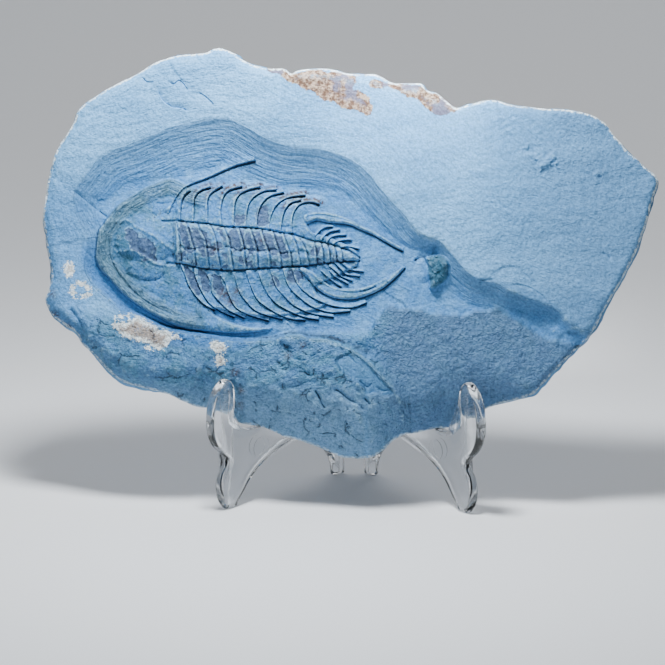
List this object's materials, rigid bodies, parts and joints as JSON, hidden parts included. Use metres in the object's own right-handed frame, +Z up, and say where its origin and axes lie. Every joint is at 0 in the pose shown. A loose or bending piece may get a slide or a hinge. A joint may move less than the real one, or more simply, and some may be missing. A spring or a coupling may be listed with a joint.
{
  "type": "neltneria trilobite fossil",
  "caption": "Trilobite with long spines in a carved shale slab, leaning back on a clear two-leg folding display stand.",
  "frame": {"origin": "centre of the footprint's box, on the surface that the stand's four feet rest on", "axes": "+X to the viewer's right along the slab's long side, +Y away from the viewer, +Z up"},
  "size_m": [0.278, 0.073, 0.2024],
  "materials": {
    "stone": "fine matt shale with carved and broken surfaces",
    "clear_plastic": "clear moulded acrylic with rounded edges"
  },
  "bodies": {
    "left_leg_and_stone": {"stand_left_leg": "clear_plastic", "fossil_slab": "stone"},
    "right_leg": {"stand_right_leg": "clear_plastic"}
  },
  "joints": [
    {"name": "stand_hinge", "type": "hinge", "parent": "left_leg_and_stone", "child": "right_leg", "pos_m": [0.00099, 0.03221, 0.065], "axis": [0, 0, 1], "range_deg": [0, 4]}
  ]
}
